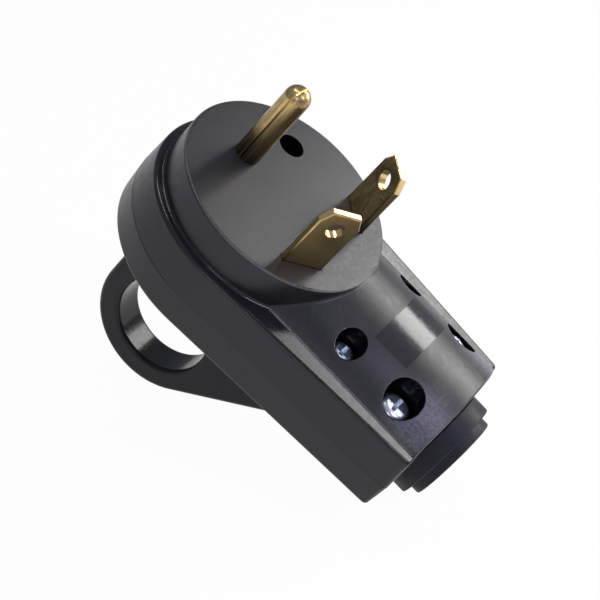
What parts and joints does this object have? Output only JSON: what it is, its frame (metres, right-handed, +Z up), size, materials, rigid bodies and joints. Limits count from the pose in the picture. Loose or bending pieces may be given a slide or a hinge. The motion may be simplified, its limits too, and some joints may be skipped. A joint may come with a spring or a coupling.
{
  "type": "caravan power plug",
  "caption": "Right-angle rewirable caravan power plug: black two-part housing with a finger handle, round ground pin, flat angled blades and a stepped cord grommet.",
  "frame": {"origin": "centre of the footprint on the surface that the plug lies on", "axes": "+Z up as the plug lies on its handle and cord end, +X across the plug, +Y along the plug from the cord to the round end; the blades point up towards -Y"},
  "size_m": [0.051, 0.0868, 0.0774],
  "materials": {
    "housing": "black moulded plastic, fine satin texture",
    "holder": "grey moulded insulator",
    "grommet": "black moulded rubber",
    "blade_brass": "stamped brass, slightly tarnished",
    "pin_brass": "rolled brass, slightly tarnished",
    "strap_brass": "stamped brass",
    "clamp_steel": "zinc-plated steel plate",
    "hot_screw": "brass screw",
    "neutral_screw": "nickel-plated screw",
    "ground_screw": "green dyed screw",
    "zinc_screw": "bright zinc-plated screw"
  },
  "bodies": {
    "root": {"front_shell": "housing", "rear_shell": "housing", "contact_holder": "holder", "hot_blade": "blade_brass", "neutral_blade": "blade_brass", "ground_pin": "pin_brass", "ground_strap": "strap_brass", "holder_screws": "zinc_screw", "cord_grommet": "grommet", "cord_clamp": "holder", "clamp_screws": "zinc_screw", "hot_wire_clamp": "clamp_steel", "hot_terminal_screw": "hot_screw", "neutral_wire_clamp": "clamp_steel", "neutral_terminal_screw": "neutral_screw", "ground_wire_clamp": "clamp_steel", "ground_terminal_screw": "ground_screw", "face_screw": "zinc_screw", "neck_screws": "zinc_screw", "end_screws": "zinc_screw"}
  },
  "joints": []
}
